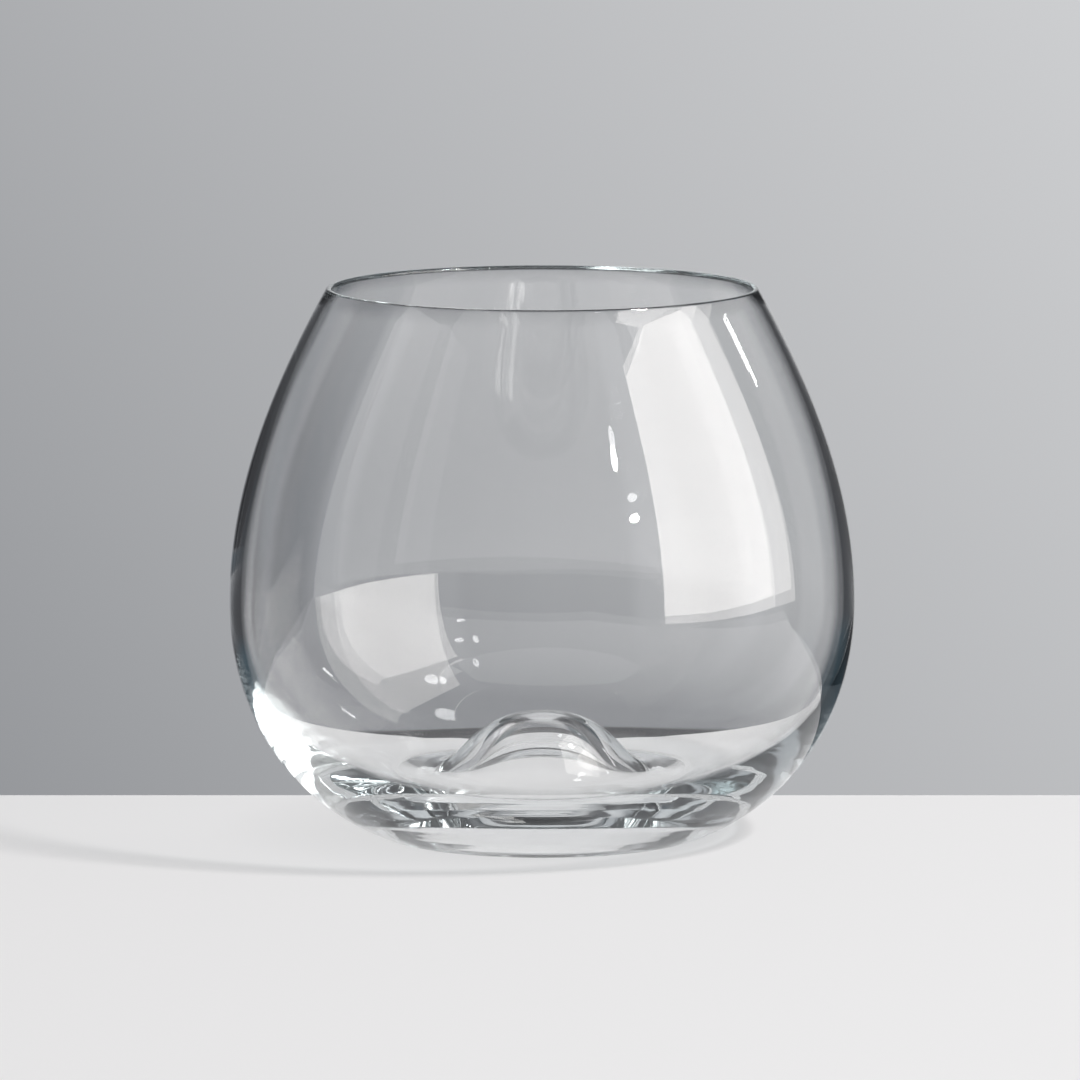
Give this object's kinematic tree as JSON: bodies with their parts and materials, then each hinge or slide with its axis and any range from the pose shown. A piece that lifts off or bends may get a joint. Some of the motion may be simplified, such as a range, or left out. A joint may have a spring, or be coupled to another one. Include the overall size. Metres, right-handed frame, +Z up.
{
  "type": "gin glass",
  "caption": "Stemless round-bellied drinking glass of clear crystal with a narrowed mouth, a thick base and a bell-shaped dimple pushed up in its floor.",
  "frame": {"origin": "centre of the flat standing face", "axes": "+Z up along the glass's axis of turning; the glass is round, so +X and +Y are any two level directions"},
  "size_m": [0.1142, 0.1142, 0.1],
  "materials": {
    "crystal": "fire-polished, clear, with a faint blue-grey tint in thick glass"
  },
  "bodies": {
    "root": {"rim": "crystal", "shoulder": "crystal", "belly": "crystal", "heel": "crystal", "dimple": "crystal", "foot_ring": "crystal"}
  },
  "joints": []
}
